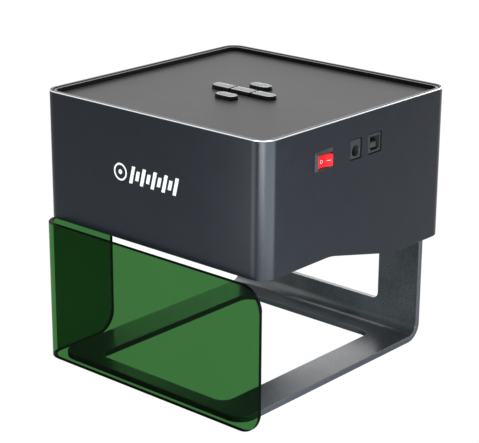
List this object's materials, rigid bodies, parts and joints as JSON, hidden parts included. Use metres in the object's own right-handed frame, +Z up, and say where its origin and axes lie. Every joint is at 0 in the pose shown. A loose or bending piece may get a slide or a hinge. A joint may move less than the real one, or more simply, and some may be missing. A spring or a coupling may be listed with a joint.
{
  "type": "desktop laser cutter",
  "caption": "Small box-shaped laser cutter head on a bent-plate stand, with a moving laser on an X-Y gantry inside, a key pad on top and a free-standing green safety shield.",
  "frame": {"origin": "middle of the whole footprint, shield included, on the desk surface", "axes": "+X to the machine's right, where its switch and sockets are; +Y to the rear; +Z up"},
  "size_m": [0.1612, 0.1624, 0.1527],
  "materials": {
    "stand_metal": "fine-grained satin powder coat",
    "rubber_pad": "matte",
    "sleeve_metal": "sandblasted dark blue-grey anodising",
    "black_screw": "black oxide",
    "panel_plastic": "satin moulded plastic",
    "circuit_board": "solder mask",
    "black_plastic": "moulded",
    "key_silver": "satin silver paint on a black key",
    "red_key": "glossy",
    "socket_plastic": "moulded",
    "bright_steel": "ground",
    "tongue_plastic": "moulded",
    "frame_sheet": "satin",
    "motor_metal": "satin",
    "heatsink_aluminium": "dark anodised",
    "barrel_brass": "turned",
    "lens_glass": "polished",
    "black_metal": "black anodised",
    "green_acrylic": "transparent green acrylic"
  },
  "bodies": {
    "machine": {"stand_plate": "stand_metal", "foot_pad_1": "rubber_pad", "foot_pad_2": "rubber_pad", "foot_pad_3": "rubber_pad", "foot_pad_4": "rubber_pad", "head_sleeve": "sleeve_metal", "rear_screw_1": "black_screw", "rear_screw_2": "black_screw", "rear_screw_3": "black_screw", "rear_screw_4": "black_screw", "top_panel": "panel_plastic", "keypad_board": "circuit_board", "key_switch_left": "black_plastic", "key_switch_centre": "black_plastic", "key_switch_right": "black_plastic", "key_switch_back": "black_plastic", "key_switch_front": "black_plastic", "rocker_housing": "black_plastic", "power_jack": "socket_plastic", "jack_pin": "bright_steel", "usb_socket": "socket_plastic", "usb_tongue": "tongue_plastic", "control_board": "circuit_board", "rail_left": "frame_sheet", "rail_right": "frame_sheet", "front_bracket": "frame_sheet", "rear_bracket": "frame_sheet", "y_rod_left": "bright_steel", "y_rod_right": "bright_steel", "y_motor": "motor_metal"},
    "gantry": {"slider_left": "black_plastic", "slider_right": "black_plastic", "x_rod_lower": "bright_steel", "x_rod_upper": "bright_steel", "x_motor": "motor_metal"},
    "carriage": {"carriage_block": "black_plastic", "laser_heatsink": "heatsink_aluminium", "lens_barrel": "barrel_brass", "laser_lens": "lens_glass", "fan_frame": "black_plastic"},
    "fan": {"fan_rotor": "black_plastic"},
    "focus": {"focus_ring": "black_metal"},
    "x_lead_screw": {"x_screw": "bright_steel"},
    "y_lead_screw": {"y_screw": "bright_steel"},
    "rocker": {"rocker_key": "red_key"},
    "key_left": {"button_left": "key_silver"},
    "key_centre": {"button_centre": "key_silver"},
    "key_right": {"button_right": "key_silver"},
    "key_back": {"button_back": "key_silver"},
    "key_front": {"button_front": "key_silver"},
    "shield": {"shield": "green_acrylic"}
  },
  "joints": [
    {"name": "y_travel", "type": "slide", "parent": "machine", "child": "gantry", "axis": [0, 1, 0], "range_m": [-0.04, 0.04]},
    {"name": "x_travel", "type": "slide", "parent": "gantry", "child": "carriage", "axis": [1, 0, 0], "range_m": [-0.04, 0.04]},
    {"name": "y_screw_turn", "type": "hinge", "parent": "machine", "child": "y_lead_screw", "pos_m": [-0.0676, -0.00425, 0.113], "axis": [0, 1, 0], "range_deg": [-4801, 4801]},
    {"name": "x_screw_turn", "type": "hinge", "parent": "gantry", "child": "x_lead_screw", "pos_m": [-0.0016, 0.01375, 0.111], "axis": [1, 0, 0], "range_deg": [-4801, 4801]},
    {"name": "fan_spin", "type": "hinge", "parent": "carriage", "child": "fan", "pos_m": [-0.0016, -0.00425, 0.132], "axis": [0, 0, 1], "continuous": true},
    {"name": "focus_turn", "type": "hinge", "parent": "carriage", "child": "focus", "pos_m": [-0.0016, -0.00425, 0.087], "axis": [0, 0, 1], "range_deg": [-90, 90]},
    {"name": "rocker_tilt", "type": "hinge", "parent": "machine", "child": "rocker", "pos_m": [0.0764, -0.02875, 0.1342], "axis": [0, 0, 1], "range_deg": [0, 24]},
    {"name": "press_left", "type": "slide", "parent": "machine", "child": "key_left", "axis": [0, 0, -1], "range_m": [0, 0.0008], "stiffness_N_per_m": 400, "springref_m": -0.0005},
    {"name": "press_centre", "type": "slide", "parent": "machine", "child": "key_centre", "axis": [0, 0, -1], "range_m": [0, 0.0008], "stiffness_N_per_m": 400, "springref_m": -0.0005},
    {"name": "press_right", "type": "slide", "parent": "machine", "child": "key_right", "axis": [0, 0, -1], "range_m": [0, 0.0008], "stiffness_N_per_m": 400, "springref_m": -0.0005},
    {"name": "press_back", "type": "slide", "parent": "machine", "child": "key_back", "axis": [0, 0, -1], "range_m": [0, 0.0008], "stiffness_N_per_m": 400, "springref_m": -0.0005},
    {"name": "press_front", "type": "slide", "parent": "machine", "child": "key_front", "axis": [0, 0, -1], "range_m": [0, 0.0008], "stiffness_N_per_m": 400, "springref_m": -0.0005},
    {"name": "shield_pull", "type": "slide", "parent": "machine", "child": "shield", "axis": [0, -1, 0], "range_m": [0, 0.06]}
  ],
  "couplings": [
    {"joint": "y_screw_turn", "follows": "y_travel", "rad_per_m": -2094.4},
    {"joint": "x_screw_turn", "follows": "x_travel", "rad_per_m": -2094.4}
  ]
}
